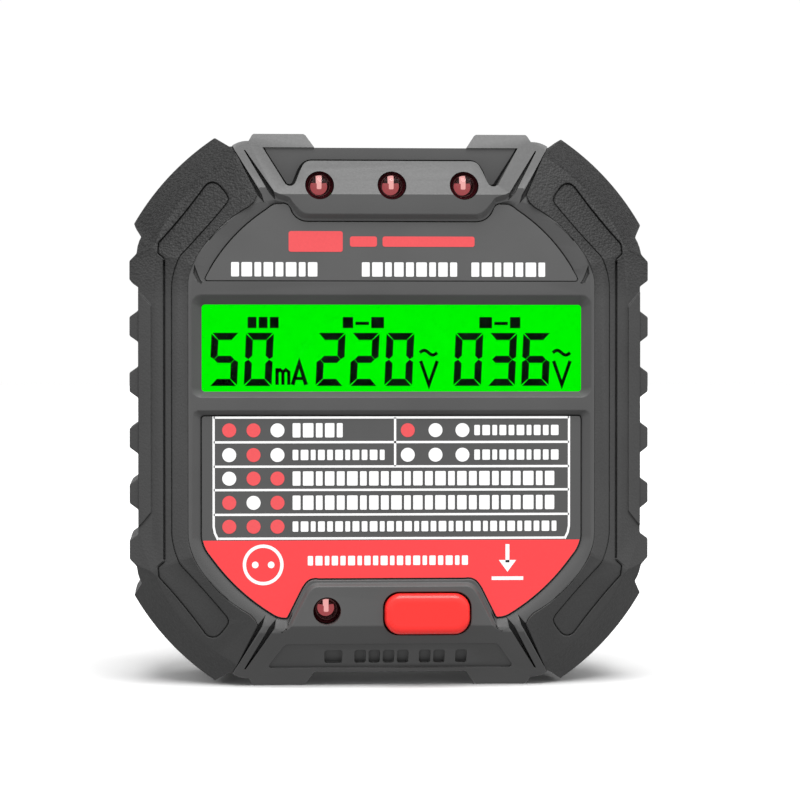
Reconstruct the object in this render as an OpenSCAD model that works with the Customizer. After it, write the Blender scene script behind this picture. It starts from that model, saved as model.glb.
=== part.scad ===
// Outlet tester plug: a plug-in tester with a lit display, four lamps and a test button.
// The face looks along -Y, the pins point along +Y and +Z is up.
// The origin is the centre of the plug's end face, midway between the pins.

/* [Housing] */
// Width over the grip sides, without the teeth
body_w = 63.8; // [63.4:0.1:64.4]
// Height over the feet and the top tabs
body_h = 70; // [69.6:0.1:71]
// Depth from the pod fronts to the rear shoulder
body_d = 30; // [29:0.5:33]
// Depth of the front shell
front_d = 15; // [14.5:0.5:16]
// Wall thickness of the shells
wall = 2; // [1.8:0.1:2.2]
// Thickness of the soft grip over the front
grip_t = 1.5; // [1.3:0.1:1.6]
// Height of a grip tooth above the side
tooth_h = 1.1; // [0.8:0.1:1.3]
// Distance from one grip tooth to the next
tooth_pitch = 7.06; // [6.9:0.02:7.1]

/* [Plug] */
// Diameter of the plug boss
boss_dia = 36.6; // [36:0.1:37]
// Length of the plug boss
boss_len = 18; // [17:0.5:19]
// Diameter of a pin
pin_dia = 4.8; // [4.75:0.01:4.85]
// Length of a pin past the end face
pin_len = 19; // [18.5:0.5:19.5]
// Distance between the pin centres
pin_gap = 19; // [18.8:0.1:19.2]
// Inner diameter of the earth socket
earth_bore = 5; // [4.9:0.05:5.2]
// Height of the earth socket above the pins
earth_z = 10; // [9.8:0.1:10.2]

/* [Display] */
// Width of the visible display
display_w = 48.1; // [46:0.1:48.4]
// Height of the visible display
display_h = 10.9; // [10:0.1:11.2]
// Height of the display's centre above the housing's centre
display_z = 7.85; // [7.6:0.05:8]

/* [Lamps and button] */
// Diameter of a lamp
lamp_dia = 3; // [2.8:0.1:3.1]
// Diameter of the hole around a lamp
lamp_hole = 3.5; // [3.3:0.1:3.6]
// Distance between the three top lamps
lamp_pitch = 9.1; // [8.8:0.1:9.2]
// Width of the test button
button_w = 10.76; // [10:0.02:11]
// Height of the test button
button_h = 5.2; // [4.8:0.1:5.4]
// How far the button stands out of the pod
button_proud = 0.9; // [0.6:0.1:1.2]
// Travel of the test button
button_travel = 0.5; // [0.3:0.1:0.5]

/* [Hidden] */
$fn = 48;

// Planes across the depth, from the front to the plug
rear_y = -boss_len;
pod_y = rear_y - body_d;
rim_y = pod_y + 0.6;
label_y = rim_y + 0.3;
chart_y = rim_y + 0.6;
window_y = rim_y + 1;
notch_y = pod_y + 4.1;
parting_y = pod_y + front_d;
cavity_y = rim_y + wall + 0.2;
board_y = pod_y + 8.4;
board_t = 1.6;
board_back_y = board_y + board_t;

half_w = body_w / 2;
half_h = body_h / 2;
edge_z = half_h - 1.8;
tooth_x = half_w + tooth_h;
far = 60;
foil_t = 0.2;
slip = 0.1;

// Bevels around the face: where each one starts at the pod fronts, and its depth per width
top_start = 27.5;
top_slope = 0.7;
side_start = 24.6;
side_slope = 0.6;
diag_start = 30.3;
diag_slope = 0.6;
diag_angle = 43.8;
rear_chamfer = 2.5;
cavity_inset = 4.5;

// The plug
boss_r = boss_dia / 2;
boss_wall = 3.1;
end_t = 2.6;
flange_t = 2.6;
pin_root_r = pin_dia / 2 + 0.2;
clip_w = 5.5;
clip_t = 0.8;
stud_end = -14;
bridge_y = rear_y + 2.4;
retainer_screw = [7, -9.5];

// Screw places
case_screw_x = 21.5;
case_screw_z = 24;
board_screw_high = [22, 18.3];
board_screw_low = [23.4, -11.5];

frame_y = cavity_y + 2.35;
lamp_len = 5.3;
lamp_tip_y = pod_y + 0.75;
test_lamp_tip_y = pod_y + 1.5;
switch_y = board_y - 2.6;
plunger_back_y = switch_y + 0.6;
dome_rise = board_y - 1 - plunger_back_y - 0.1;

button_x = 4.4;
button_z = -25.8;
button_r = 1.7;
button_gap = 0.17;
test_lamp_x = -8.2;
test_lamp_z = -25.2;
lamp_z = 28.6;

// Points on a shallow arc from a to b that rises to its left by rise
function bow(a, b, rise, n) =
    let (d = b - a, side = [-d[1], d[0]] / norm(d))
    [for (i = [0:n]) let (t = i / n) a + d * t + side * 4 * rise * t * (1 - t)];

function back_in_z(q) = [for (i = [len(q) - 1:-1:0]) [q[i][0], -q[i][1]]];
function back_in_x(q) = [for (i = [len(q) - 1:-1:0]) [-q[i][0], q[i][1]]];
function reverse(q) = [for (i = [len(q) - 1:-1:0]) q[i]];
function right_half(q) = concat(q, back_in_z(q));
function whole(q) = concat(right_half(q), back_in_x(right_half(q)));
function mirrored(q) = concat(q, back_in_x(q));

function tooth(z, side_x) = [
    [side_x, z + 1.97], [tooth_x, z + 1.2], [tooth_x, z - 1.2], [side_x, z - 1.97],
];

// Quarter outlines, for the upper right of the face
q_top = concat(
    [[9.6, edge_z], [10.7, half_h], [17.44, half_h]],
    bow([17.95, half_h - 0.94], [20, half_h - 1.55], 0.18, 3)
);
q_side = concat(
    [[20.3, half_h - 1.65]],
    bow([22.1, half_h - 0.55], [half_w + 0.6, 23.6], 0.87, 10),
    [[half_w - 0.4, 22], [half_w + 0.05, 20.8], [half_w + 0.2, 19.75]],
    [for (i = [1:3]) tooth(tooth_pitch * 2.5, half_w)[i]],
    tooth(tooth_pitch * 1.5, half_w),
    tooth(tooth_pitch * 0.5, half_w)
);
q_rim = [
    [16.9, 27], [17.6, 25.7], [19.8, 24.5], [22.1, 22.3],
    [24.1, 19.9], [25.2, 18.1], [25.6, 15.9],
];
q_core = bow([20.9, half_h - 3.1], [half_w - 2.3, 22.8], 0.7, 8);
q_inner = concat([[20, half_h - 1.55]], q_rim);
q_cavity = [[19.4, edge_z - wall], [half_w - 2.3 - wall, 22]];
q_board = [[18.4, edge_z - wall - 0.8], [half_w - 5.1, 21.4]];

grip_front_edge = concat(right_half(q_side), reverse(right_half(q_inner)));
grip_rear_edge = concat(
    right_half(q_side), reverse(right_half(concat([[20, half_h - 1.55]], q_core)))
);
// One quarter of the long C-shaped recess: a pad on the bumper that narrows to a channel
q_recess = [[28.6, 19.1], [29.3, 19.9], [29, 21.2], [23.2, 28.3], [22.2, 28.7], [21.3, 28.4],
    [20.3, 26.8], [20.5, 26], [23.2, 23.1], [26.2, 19.5], [27.1, 17.5], [27.5, 15.5]];

top_label_edge = mirrored([
    [11.2, 24.1], [12.3, 25], [12.7, 25.65], [13.2, 26.3], [14.7, 26.2], [16, 25.4],
    [18, 23.8], [20.2, 21.7], [22.4, 19.05], [23.8, 16.5],
]);
chart_edge = mirrored([
    [24, -0.64], [24, -16.4], [22.85, -18.3], [21.1, -20.6], [18.7, -23.1], [16.3, -25.1],
    [14.8, -25.9], [13.9, -26.2], [13.1, -26.2], [12.6, -25.2], [11.2, -22.4],
    [10.2, -21.6], [9, -21.3],
]);
lamp_pod_edge = mirrored([
    [11.2, 24.1], [12.3, 25], [12.9, 25.9], [13.6, 26.3], [14.9, 26.4], [18, half_h - 3],
]);
button_pod_edge = mirrored([
    [18, 3 - half_h], [14.9, -27.2], [13.3, -26.6], [12.6, -25.2], [11.2, -22.4],
    [10.2, -21.6], [9, -21.3],
]);
notch_edge = mirrored([
    [10.2, 31.8], [10.9, 31.4], [11.5, 30.5], [12, 29.1], [12.4, 28.6], [13, 28.5],
    [13.5, 28.8], [16.2, edge_z],
]);
panel_edge = mirrored([[15.9, 0.4 - edge_z], [13.6, -29.5]]);
outer_groove = [[19.7, 32.9], [19.4, 33.05], [15.7, 26.6], [16.4, 26.1]];
inner_groove = [[18.4, 33], [18.1, 33.15], [14.4, 27], [15.1, 26.5]];

// A flat outline in X and Z, made solid from y0 to y1
module slab(y0, y1) {
    translate([0, y1, 0]) rotate([90, 0, 0]) linear_extrude(y1 - y0) children();
}

module rod(x, z, r, y0, y1) {
    translate([x, y0, z]) rotate([-90, 0, 0]) cylinder(r = r, h = y1 - y0);
}

module box(x0, x1, y0, y1, z0, z1) {
    translate([x0, y0, z0]) cube([x1 - x0, y1 - y0, z1 - z0]);
}

// A profile given as [y, z] points, extruded along X
module along_x(half_length, profile) {
    rotate([90, 0, 90]) linear_extrude(2 * half_length, center = true) polygon(profile);
}

module on_each_side() {
    children();
    mirror([1, 0, 0]) children();
}

module in_each_corner() {
    on_each_side() {
        children();
        mirror([0, 0, 1]) children();
    }
}

module rounded_rect(w, h, r) {
    polygon([for (c = [[1, 1, 0], [-1, 1, 90], [-1, -1, 180], [1, -1, 270]], a = [0:15:90])
        [c[0] * (w / 2 - r) + r * cos(c[2] + a), c[1] * (h / 2 - r) + r * sin(c[2] + a)]]);
}

// Everything behind two front bevels that start at +-start
module bevel_prism(start, slope, inset) {
    reach = 12;
    front = pod_y + inset;
    wide = start + reach / slope;
    linear_extrude(4 * far, center = true)
        polygon([[-start, front], [start, front], [wide, front + reach], [wide, far],
            [-wide, far], [-wide, front + reach]]);
}

// The bevelled front that the shell and the grips share, moved back by inset
module crown(inset) {
    intersection() {
        bevel_prism(side_start, side_slope, inset);
        rotate([0, 90, 0]) bevel_prism(top_start, top_slope, inset);
        rotate([0, diag_angle, 0]) bevel_prism(diag_start, diag_slope, inset);
        rotate([0, -diag_angle, 0]) bevel_prism(diag_start, diag_slope, inset);
    }
}

module rear_prism(start) {
    wide = start + 10;
    linear_extrude(4 * far, center = true)
        polygon([[-start, rear_y], [start, rear_y], [wide, rear_y - 10], [wide, -far],
            [-wide, -far], [-wide, rear_y - 10]]);
}

module rear_crown() {
    intersection() {
        rear_prism(half_w - rear_chamfer);
        rotate([0, 90, 0]) rear_prism(edge_z - rear_chamfer);
        rotate([0, diag_angle, 0]) rear_prism(diag_start + 7.4);
        rotate([0, -diag_angle, 0]) rear_prism(diag_start + 7.4);
    }
}

// A cut of the given depth below the bevelled front
module front_cut(depth) {
    difference() {
        slab(pod_y - 1, parting_y - 1) children();
        crown(depth);
    }
}

module core_block() {
    intersection() {
        slab(pod_y, parting_y) polygon(whole(concat(q_top, q_core)));
        crown(grip_t);
    }
}

module face_block() {
    intersection() {
        union() {
            slab(rim_y, parting_y) polygon(whole(concat(q_top, q_rim)));
            lamp_pod();
            button_pod();
        }
        crown(0);
    }
}

module lamp_pod() {
    intersection() {
        slab(pod_y, parting_y) polygon(lamp_pod_edge);
        along_x(30, [[pod_y, 24.9], [label_y, 24.1], [parting_y, 24.1], [parting_y, far],
            [pod_y, far]]);
    }
}

module button_pod() {
    intersection() {
        slab(pod_y, parting_y) polygon(button_pod_edge);
        along_x(30, [[pod_y, -22.1], [chart_y, -21.3], [parting_y, -21.3], [parting_y, -far],
            [pod_y, -far]]);
    }
}

module display_opening() {
    w = display_w / 2;
    h = display_h / 2;
    out = 1.2;
    intersection() {
        linear_extrude(4 * far, center = true)
            polygon([[-w - out, rim_y - slip], [w + out, rim_y - slip], [w, window_y],
                [w, cavity_y + 1], [-w, cavity_y + 1], [-w, window_y]]);
        along_x(far, [[rim_y - slip, display_z - h - out], [window_y, display_z - h],
            [cavity_y + 1, display_z - h], [cavity_y + 1, display_z + h],
            [window_y, display_z + h], [rim_y - slip, display_z + h + out]]);
    }
}

module lamp_holes() {
    for (i = [-1:1]) {
        rod(i * lamp_pitch, lamp_z, lamp_hole / 2, pod_y - 1, board_y);
        rod(i * lamp_pitch, lamp_z, lamp_dia / 2 + 0.6, pod_y + 4.9, board_y);
    }
    rod(test_lamp_x, test_lamp_z, lamp_hole / 2, pod_y - 1, board_y);
}

module button_opening() {
    at_button() slab(pod_y - 1, board_y - 3)
        rounded_rect(button_w + 2 * button_gap, button_h + 2 * button_gap, button_r);
    at_button() box(-6.9, 6.9, pod_y + 3.2, board_y, -3.9, 3.9);
}

module at_button() {
    translate([button_x, 0, button_z]) children();
}

module display_pockets() {
    h = display_h / 2;
    box(-24.7, 24.7, window_y, cavity_y + slip, display_z - h - 0.9, display_z + h + 0.9);
    box(-25, 25, cavity_y, board_y, 0.4, 15.8);
}

module cavity_front() {
    intersection() {
        slab(cavity_y, parting_y + 1) polygon(whole(q_cavity));
        crown(cavity_inset);
    }
}

module case_posts(y0, y1, bore) {
    in_each_corner() difference() {
        rod(case_screw_x, case_screw_z, 3, y0, y1);
        rod(case_screw_x, case_screw_z, bore, y0 - 1, y1 + 1);
    }
}

module board_post(place) {
    difference() {
        rod(place[0], place[1], 2.2, cavity_y - slip, board_y);
        rod(place[0], place[1], 0.9, cavity_y + 1, board_y + 1);
    }
}

module front_shell() {
    color([0.38, 0.38, 0.38]) {
        difference() {
            union() {
                face_block();
                core_block();
            }
            difference() {
                cavity_front();
                in_each_corner() rod(case_screw_x, case_screw_z, 3, cavity_y - 1, parting_y + 2);
                on_each_side() {
                    board_post(board_screw_high);
                    board_post(board_screw_low);
                }
            }
            in_each_corner() rod(case_screw_x, case_screw_z, 1.1, pod_y + 7, parting_y + 1);
            slab(pod_y - 1, label_y) polygon(top_label_edge);
            slab(pod_y - 1, chart_y) polygon(chart_edge);
            slab(pod_y - 1, notch_y) polygon(notch_edge);
            display_opening();
            display_pockets();
            lamp_holes();
            button_opening();
            front_cut(0.25) polygon(panel_edge);
            in_each_corner() front_cut(0.8) {
                polygon(outer_groove);
                polygon(inner_groove);
            }
        }
    }
}

// Grooves for the earth clips along the boss, with a slot through the wall for each leg
module earth_clip_slots() {
    half = clip_w / 2 + slip;
    for (s = [0, 1]) mirror([0, 0, s]) {
        box(-half, half, rear_y + 1.5, -2.6, boss_r - 1.9, boss_dia);
        box(-half, half, -3.6, -2.6, boss_r - 4.5, boss_dia);
        box(-half, half, rear_y + 1.5, rear_y + 2.5, boss_r - 4.5, boss_dia);
    }
}

module guide_grooves() {
    on_each_side() box(boss_r - 1.6, boss_dia, rear_y + 2, 1, -2.75, 2.75);
}

module rear_shell() {
    color([0.36, 0.36, 0.36]) {
        difference() {
            union() {
                intersection() {
                    slab(parting_y, rear_y) polygon(whole(concat(q_top, q_core)));
                    rear_crown();
                }
                in_each_corner() slab(parting_y, rear_y)
                    polygon([[9.6, 32], [9.6, edge_z], [10.7, half_h], [17.44, half_h],
                        [17.95, half_h - 0.94], [17.95, 32]]);
                rod(0, 0, boss_r, rear_y - 1, 0);
            }
            difference() {
                slab(parting_y - 1, rear_y - wall) polygon(whole(q_cavity));
                in_each_corner() rod(case_screw_x, case_screw_z, 3.6, parting_y - 2, rear_y);
            }
            rod(0, 0, boss_r - boss_wall, rear_y - wall - 1, -end_t);
            in_each_corner() {
                rod(case_screw_x, case_screw_z, 1.4, parting_y - 1, rear_y + 1);
                rod(case_screw_x, case_screw_z, 2.7, rear_y - 6, rear_y + 1);
            }
            on_each_side() rod(pin_gap / 2, 0, pin_root_r, -end_t - 1, 1);
            rod(0, earth_z, earth_bore / 2 + 0.6, -end_t - 1, 1);
            earth_clip_slots();
            guide_grooves();
        }
        on_each_side() difference() {
            rod(retainer_screw[0], retainer_screw[1], 2.4, -end_t - flange_t, -end_t + slip);
            rod(retainer_screw[0], retainer_screw[1], 0.9, -end_t - flange_t - 1, -end_t);
        }
    }
}

// The soft side, front half: a skin over the shell's edge, with a recess and teeth
module grip_front() {
    difference() {
        intersection() {
            slab(pod_y, parting_y) polygon(grip_front_edge);
            crown(0);
        }
        core_block();
        front_cut(0.4) polygon(concat(q_recess, back_in_z(q_recess)));
    }
}

module grip_rear() {
    intersection() {
        slab(parting_y, rear_y) polygon(grip_rear_edge);
        rear_crown();
    }
}

module grip_front_left() {
    color([0.26, 0.26, 0.26]) mirror([1, 0, 0]) grip_front();
}

module grip_front_right() {
    color([0.26, 0.26, 0.26]) grip_front();
}

module grip_rear_left() {
    color([0.26, 0.26, 0.26]) mirror([1, 0, 0]) grip_rear();
}

module grip_rear_right() {
    color([0.26, 0.26, 0.26]) grip_rear();
}

module top_label() {
    color([0.4, 0.4, 0.4]) slab(label_y - foil_t, label_y)
        offset(delta = -slip) polygon(top_label_edge);
}

module chart_label() {
    color([0.93, 0.31, 0.32]) slab(chart_y - foil_t, chart_y)
        offset(delta = -slip) polygon(chart_edge);
}

module display_window() {
    h = display_h / 2 + 0.8;
    color([0.85, 0.95, 0.88]) box(-24.6, 24.6, window_y, cavity_y, display_z - h, display_z + h);
}

module lcd_glass() {
    color([0, 0.9, 0.1]) box(-24.8, 24.8, cavity_y + slip, cavity_y + 2.3, 0.8, 15.4);
}

module lcd_frame() {
    color([0.93, 0.93, 0.9]) difference() {
        box(-24.9, 24.9, frame_y, board_y, 0.6, 15.6);
        box(-22.1, 22.1, frame_y - 1, board_y + 1, 1.5, 3.1);
        box(-23.9, 23.9, frame_y - 1, board_y + 1, 3.9, 14.9);
    }
}

module backlight() {
    color([0.6, 1, 0.6]) box(-23.8, 23.8, frame_y, board_y - 0.4, 4, 14.8);
}

module zebra_strip() {
    color([0.85, 0.6, 0.65]) box(-22, 22, frame_y, board_y, 1.6, 3);
}

module lamp(x, z, tip_y) {
    color([0.8, 0.1, 0.12]) {
        rod(x, z, lamp_dia / 2, tip_y + lamp_dia / 2, tip_y + lamp_len);
        translate([x, tip_y + lamp_dia / 2, z]) sphere(lamp_dia / 2);
        rod(x, z, lamp_dia / 2 + 0.4, tip_y + lamp_len - 1, tip_y + lamp_len);
    }
}

module lamp_left() {
    lamp(-lamp_pitch, lamp_z, lamp_tip_y);
}

module lamp_middle() {
    lamp(0, lamp_z, lamp_tip_y);
}

module lamp_right() {
    lamp(lamp_pitch, lamp_z, lamp_tip_y);
}

module test_lamp() {
    lamp(test_lamp_x, test_lamp_z, test_lamp_tip_y);
}

module lead_pair(x, z, r, y0) {
    for (s = [-1, 1]) rod(x + s * 1.27, z, r, y0, board_back_y + 1.2);
}

module all_lead_pairs(r, top_y, low_y) {
    for (i = [-1:1]) lead_pair(i * lamp_pitch, lamp_z, r, top_y);
    lead_pair(test_lamp_x, test_lamp_z, r, low_y);
}

module lamp_leads() {
    color("silver") all_lead_pairs(0.25, lamp_tip_y + lamp_len, test_lamp_tip_y + lamp_len);
}

module test_button() {
    flange_y = pod_y + 3.3;
    color([0.97, 0.3, 0.3]) at_button() {
        slab(pod_y - button_proud, flange_y + 0.5) rounded_rect(button_w, button_h, button_r);
        box(-6.6, 6.6, flange_y, flange_y + 1, -3.6, 3.6);
    }
}

module switch_base() {
    color([0.15, 0.15, 0.15]) at_button() difference() {
        box(-3, 3, switch_y, board_y, -3, 3);
        rod(0, 0, 2.2, switch_y - 1, board_y - 1);
    }
}

module switch_cover() {
    color("silver") at_button() difference() {
        box(-3, 3, switch_y - 0.3, switch_y, -3, 3);
        rod(0, 0, 1.8, switch_y - 1, switch_y + 1);
    }
}

module switch_plunger() {
    color([0.2, 0.2, 0.2]) at_button() {
        rod(0, 0, 1.7, pod_y + 4.35, switch_y + 0.1);
        rod(0, 0, 2.05, switch_y + 0.05, plunger_back_y);
    }
}

// A domed snap disc whose crown meets the plunger
module switch_dome() {
    top = bow([0, dome_rise], [2, 0], 0.12, 6);
    disc_t = 0.08;
    color("gold") at_button() translate([0, board_y - 1, 0]) rotate([90, 0, 0]) rotate_extrude()
        polygon(concat(top, [for (p = reverse(top)) [p[0], p[1] + disc_t]]));
}

module main_board() {
    color([0.1, 0.4, 0.2]) difference() {
        slab(board_y, board_back_y) polygon(whole(q_board));
        in_each_corner() rod(case_screw_x, case_screw_z, 3.5, board_y - 1, board_back_y + 1);
        on_each_side() for (p = [board_screw_high, board_screw_low])
            rod(p[0], p[1], 1, board_y - 1, board_back_y + 1);
        all_lead_pairs(0.3, board_y - 1, board_y - 1);
    }
}

module board_screws() {
    color("silver") on_each_side() for (p = [board_screw_high, board_screw_low]) {
        rod(p[0], p[1], 0.85, board_y - 3.6, board_back_y + 0.5);
        rod(p[0], p[1], 1.8, board_back_y, board_back_y + 1);
    }
}

module case_screws() {
    head_y = rear_y - 6;
    color("silver") in_each_corner() difference() {
        union() {
            rod(case_screw_x, case_screw_z, 1.05, pod_y + 8, head_y + 0.5);
            rod(case_screw_x, case_screw_z, 2.4, head_y, head_y + 1.6);
        }
        for (a = [0, 90]) translate([case_screw_x, head_y + 1.6, case_screw_z])
            rotate([0, a, 0]) cube([3, 1.6, 0.6], center = true);
    }
}

// A round-ended pin with a flange behind the plug's end wall and a stud for its wire
module pin_part() {
    color("silver") {
        rod(0, 0, pin_dia / 2, -0.5, pin_len - pin_dia / 2);
        rod(0, 0, pin_root_r, -end_t - 0.5, 0);
        translate([0, pin_len - pin_dia / 2, 0]) sphere(pin_dia / 2);
        rod(0, 0, 3.75, -end_t - flange_t, -end_t);
        rod(0, 0, 2, stud_end, -end_t - flange_t + 0.5);
    }
}

module pin_left() {
    translate([-pin_gap / 2, 0, 0]) pin_part();
}

module pin_right() {
    translate([pin_gap / 2, 0, 0]) pin_part();
}

module earth_clip() {
    half = clip_w / 2;
    top = boss_r - 0.2;
    back = rear_y + 1.6;
    color([0.85, 0.75, 0.5]) {
        box(-half, half, back, -2.7, top - clip_t, top);
        box(-half, half, -2.7 - clip_t, -2.7, boss_r - 4, top);
        box(-half, half, back, back + clip_t, 12.6, top);
    }
}

module earth_clip_top() {
    earth_clip();
}

module earth_clip_bottom() {
    mirror([0, 0, 1]) earth_clip();
}

module earth_socket() {
    color([0.85, 0.75, 0.5]) difference() {
        rod(0, earth_z, earth_bore / 2 + 0.6, bridge_y + clip_t, -0.4);
        rod(0, earth_z, earth_bore / 2, bridge_y, 0);
    }
}

module earth_bridge() {
    color([0.85, 0.75, 0.5]) box(-4.3, 4.3, bridge_y, bridge_y + clip_t, -14, 14);
}

module pin_retainer() {
    front = -end_t - flange_t;
    thick = 2.6;
    color([0.9, 0.88, 0.8]) difference() {
        rod(0, 0, boss_r - boss_wall - 0.4, front - thick, front);
        on_each_side() {
            rod(pin_gap / 2, 0, 2.05, front - thick - 1, front + 1);
            rod(retainer_screw[0], retainer_screw[1], 1, front - thick - 1, front + 1);
        }
        rod(0, earth_z, earth_bore / 2 + 0.7, front - thick - 1, front + 1);
    }
}

module retainer_screws() {
    head_y = -end_t - flange_t - 2.6;
    color("silver") on_each_side() {
        rod(retainer_screw[0], retainer_screw[1], 0.85, head_y - 0.5, -end_t - 0.2);
        rod(retainer_screw[0], retainer_screw[1], 1.8, head_y - 1, head_y);
    }
}

// A wire that leaves straight, bends over smoothly and arrives straight
module wire(from, to, r) {
    rings = 12;
    sides = 8;
    path = [for (i = [0:rings]) let (t = i / rings, s = t * t * (3 - 2 * t))
        [from[0] + (to[0] - from[0]) * s, from[1] + (to[1] - from[1]) * t,
            from[2] + (to[2] - from[2]) * s]];
    points = [for (p = path, k = [0:sides - 1])
        p + r * [cos(k * 360 / sides), 0, sin(k * 360 / sides)]];
    skin = [for (i = [0:rings - 1], k = [0:sides - 1])
        [i * sides + k, i * sides + (k + 1) % sides, (i + 1) * sides + (k + 1) % sides,
            (i + 1) * sides + k]];
    start_cap = [for (k = [sides - 1:-1:0]) k];
    end_cap = [for (k = [0:sides - 1]) rings * sides + k];
    polyhedron(points, concat([start_cap], skin, [end_cap]));
}

module live_wire() {
    color([0.45, 0.25, 0.15])
        wire([-pin_gap / 2, stud_end, 0], [-12.5, board_back_y, -3.5], 0.9);
}

module neutral_wire() {
    color([0.15, 0.3, 0.75])
        wire([pin_gap / 2, stud_end, 0], [12.5, board_back_y, -3.5], 0.9);
}

module earth_wire() {
    color([0.5, 0.75, 0.2]) wire([0, bridge_y, -6], [0, board_back_y, -15.5], 0.9);
}

module dropper_capacitor() {
    color([0.9, 0.75, 0.15]) box(-16.5, -1.5, board_back_y, board_back_y + 11, 17.5, 24);
}

module smoothing_capacitor() {
    color([0.15, 0.2, 0.4]) rod(9, 21.5, 4, board_back_y, board_back_y + 11);
}

// A part lying along X on two legs that reach the board
module axial_part(x, z, r, length) {
    height = r + 0.6;
    translate([x - length / 2, board_back_y + height, z]) rotate([0, 90, 0])
        cylinder(r = r, h = length);
    for (s = [-1, 1]) {
        leg_x = x + s * (length / 2 + 0.8);
        rod(leg_x, z, 0.35, board_back_y, board_back_y + height + 0.35);
        box(min(leg_x, x), max(leg_x, x), board_back_y + height - 0.3,
            board_back_y + height + 0.3, z - 0.3, z + 0.3);
    }
}

module test_resistors() {
    color([0.55, 0.75, 0.6]) for (z = [-14.5, -21]) axial_part(-11.5, z, 2.5, 12);
}

module sense_resistors() {
    color([0.8, 0.65, 0.4]) for (i = [0:2]) axial_part(-19, 4 + i * 4, 1.2, 6.5);
}

module rectifier_diodes() {
    color([0.12, 0.12, 0.12]) for (i = [0:3]) axial_part(18.5, 2 + i * 4, 1.3, 5.2);
}

module triac() {
    color([0.12, 0.12, 0.12])
        box(6.5, 16.5, board_back_y, board_back_y + 4.5, -24, -14);
}

module thermal_fuse() {
    color([0.9, 0.85, 0.7]) axial_part(-18.5, -7.5, 1.5, 8);
}

module controller_chip() {
    color([0.1, 0.1, 0.1]) {
        box(-5, 5, board_back_y + 0.2, board_back_y + 1.8, -11, -6.5);
        for (i = [0:7], side = [-1, 1])
            box(-4.6 + i * 1.27, -4.2 + i * 1.27, board_back_y, board_back_y + 0.9,
                -8.75 + side * 2.65 - 0.5, -8.75 + side * 2.65 + 0.5);
    }
}

front_shell();
rear_shell();
grip_front_left();
grip_front_right();
grip_rear_left();
grip_rear_right();
top_label();
chart_label();
display_window();
lcd_glass();
lcd_frame();
backlight();
zebra_strip();
lamp_left();
lamp_middle();
lamp_right();
test_lamp();
lamp_leads();
test_button();
switch_base();
switch_cover();
switch_plunger();
switch_dome();
main_board();
board_screws();
case_screws();
pin_left();
pin_right();
earth_clip_top();
earth_clip_bottom();
earth_socket();
earth_bridge();
pin_retainer();
retainer_screws();
live_wire();
neutral_wire();
earth_wire();
dropper_capacitor();
smoothing_capacitor();
test_resistors();
sense_resistors();
rectifier_diodes();
triac();
thermal_fuse();
controller_chip();
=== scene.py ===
"""Outlet tester plug: the looks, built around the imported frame.

Outlines are in millimetres on the face, x to the right and z up from the face's centre.
Depths are in millimetres along y: the face looks along -y and the pins point along +y.
"""

import math

import bmesh
import bpy
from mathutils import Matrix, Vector


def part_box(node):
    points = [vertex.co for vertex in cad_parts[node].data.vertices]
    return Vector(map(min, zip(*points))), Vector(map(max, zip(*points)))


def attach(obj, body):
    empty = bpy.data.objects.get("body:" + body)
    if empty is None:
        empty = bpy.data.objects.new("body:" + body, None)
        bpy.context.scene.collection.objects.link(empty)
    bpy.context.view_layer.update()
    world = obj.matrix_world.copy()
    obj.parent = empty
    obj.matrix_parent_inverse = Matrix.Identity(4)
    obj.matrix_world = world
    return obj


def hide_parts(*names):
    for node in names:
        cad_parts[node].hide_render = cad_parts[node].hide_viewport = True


MM = 0.001
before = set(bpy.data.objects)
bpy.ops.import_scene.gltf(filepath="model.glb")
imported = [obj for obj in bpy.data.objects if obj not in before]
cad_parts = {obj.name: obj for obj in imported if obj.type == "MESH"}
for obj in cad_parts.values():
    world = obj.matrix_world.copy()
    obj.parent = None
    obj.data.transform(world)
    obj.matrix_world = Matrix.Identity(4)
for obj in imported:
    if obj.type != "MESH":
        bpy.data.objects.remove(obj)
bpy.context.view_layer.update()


# ------------ places, from the frame

def low(node):
    """A CAD node's lowest corner, in millimetres."""
    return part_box(node)[0] / MM


def high(node):
    """A CAD node's highest corner, in millimetres."""
    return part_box(node)[1] / MM


def middle(node):
    """The (x, z) place of a CAD node's middle on the face."""
    a, b = low(node), high(node)
    return (a.x + b.x) / 2, (a.z + b.z) / 2


HALF_H = high("front_shell").z
TOOTH_X = high("grip_front_right").x
HALF_W = TOOTH_X - 1.1
POD_Y = low("front_shell").y
PARTING_Y = high("front_shell").y
REAR_Y = high("grip_rear_left").y
WINDOW_Y = low("display_window").y
GLASS_Y = low("lcd_glass").y
RIM_Y = POD_Y + 0.6
LABEL_Y = high("top_label").y
CHART_Y = high("chart_label").y
CAVITY_Y = high("display_window").y
NOTCH_Y = POD_Y + 4.5
EDGE_Z = HALF_H - 1.8
TAB_FRONT_Y = POD_Y + 4
FOIL_T = 0.2
PRINT_T = 0.03
LAMP_DROP = 0.33
TEST_LAMP_RISE = 0.1
BUTTON_RISE = 0.22
LAMP_Z = middle("lamp_middle")[1] - LAMP_DROP
LAMP_PITCH = middle("lamp_right")[0]
LAMP_HOLE_R = 1.82
TEST_HOLE_R = 1.75
TEST_LAMP = middle("test_lamp")
BUTTON = (middle("test_button")[0], middle("test_button")[1] + BUTTON_RISE)
BUTTON_W, BUTTON_H, BUTTON_R = 10.76, 5.15, 2.0
BUTTON_GAP = 0.17
BOSS_R = 18.3
PIN_X = 9.5
EARTH_Z = 10
CLIP_HALF_W = 2.85
GUIDE_HALF_W = 2.75
SCREW_X, SCREW_Z = 21.5, 24

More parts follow.
